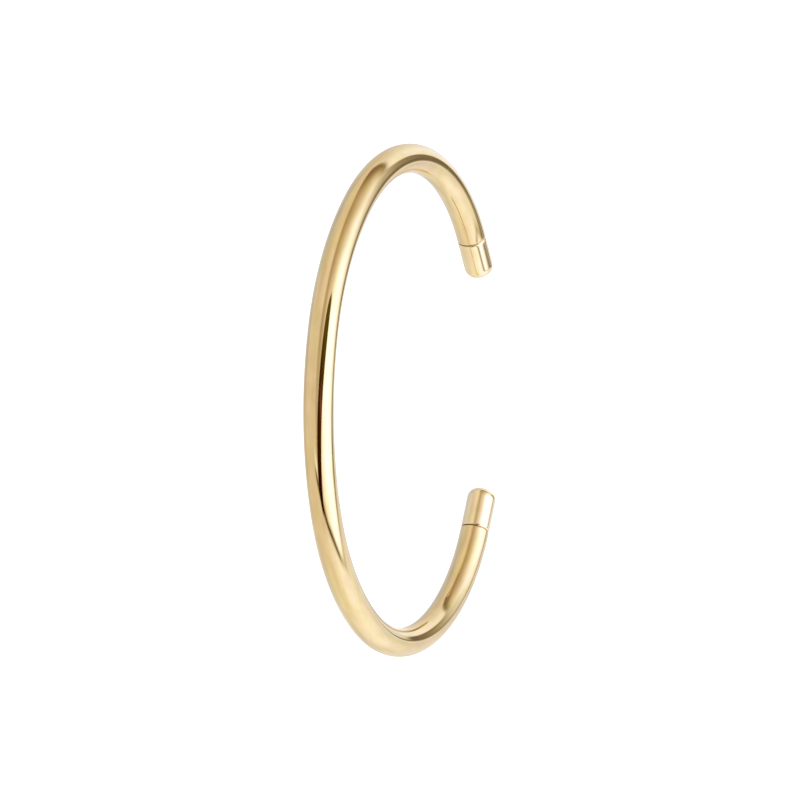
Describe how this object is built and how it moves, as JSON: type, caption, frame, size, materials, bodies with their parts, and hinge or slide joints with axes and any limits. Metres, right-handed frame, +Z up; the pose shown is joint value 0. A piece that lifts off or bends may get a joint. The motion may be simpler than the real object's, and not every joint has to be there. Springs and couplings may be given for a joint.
{
  "type": "cuff bangle",
  "caption": "Open oval cuff bangle of polished gold-coloured round rod, with a short rounded cap set flush on each end.",
  "frame": {"origin": "under the middle of the cuff's outline, on the surface that it rests on", "axes": "+X along the long way of the oval, +Y from the closed front towards the opening between the caps, +Z up through the wrist opening"},
  "size_m": [0.0654, 0.0508, 0.0038],
  "materials": {
    "polished_gold": "mirror-polished gold plate on brass"
  },
  "bodies": {
    "root": {"hoop": "polished_gold", "end_cap_left": "polished_gold", "end_cap_right": "polished_gold"}
  },
  "joints": []
}
